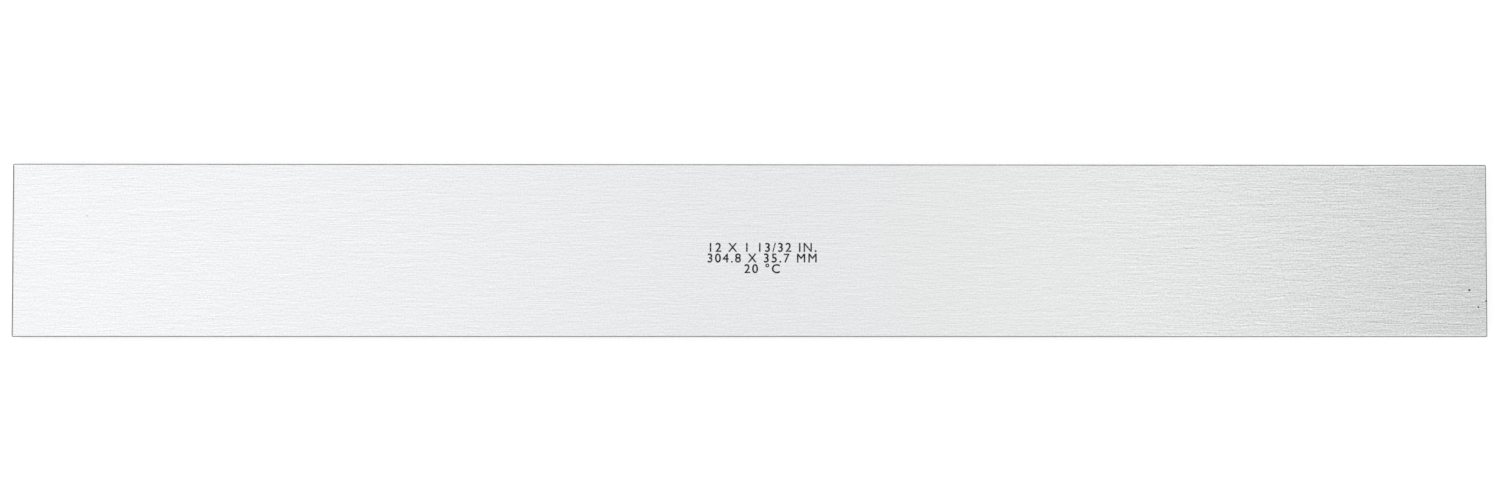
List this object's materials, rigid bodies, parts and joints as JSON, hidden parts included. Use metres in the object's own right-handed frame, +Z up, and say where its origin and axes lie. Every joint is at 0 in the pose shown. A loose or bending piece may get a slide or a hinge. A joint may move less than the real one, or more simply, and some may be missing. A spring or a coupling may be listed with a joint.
{
  "type": "steel straight edge",
  "caption": "Flat rectangular bar of ground steel with two parallel square working edges, for testing flatness and guiding straight lines.",
  "frame": {"origin": "middle of the lower broad face, which the bar lies on", "axes": "+X along the bar, +Y across it from one working edge to the other, +Z up through the thickness"},
  "size_m": [0.3048, 0.0358, 0.0044],
  "materials": {
    "ground_steel": "satin, ground along the length"
  },
  "bodies": {
    "root": {"straight_edge": "ground_steel"}
  },
  "joints": []
}
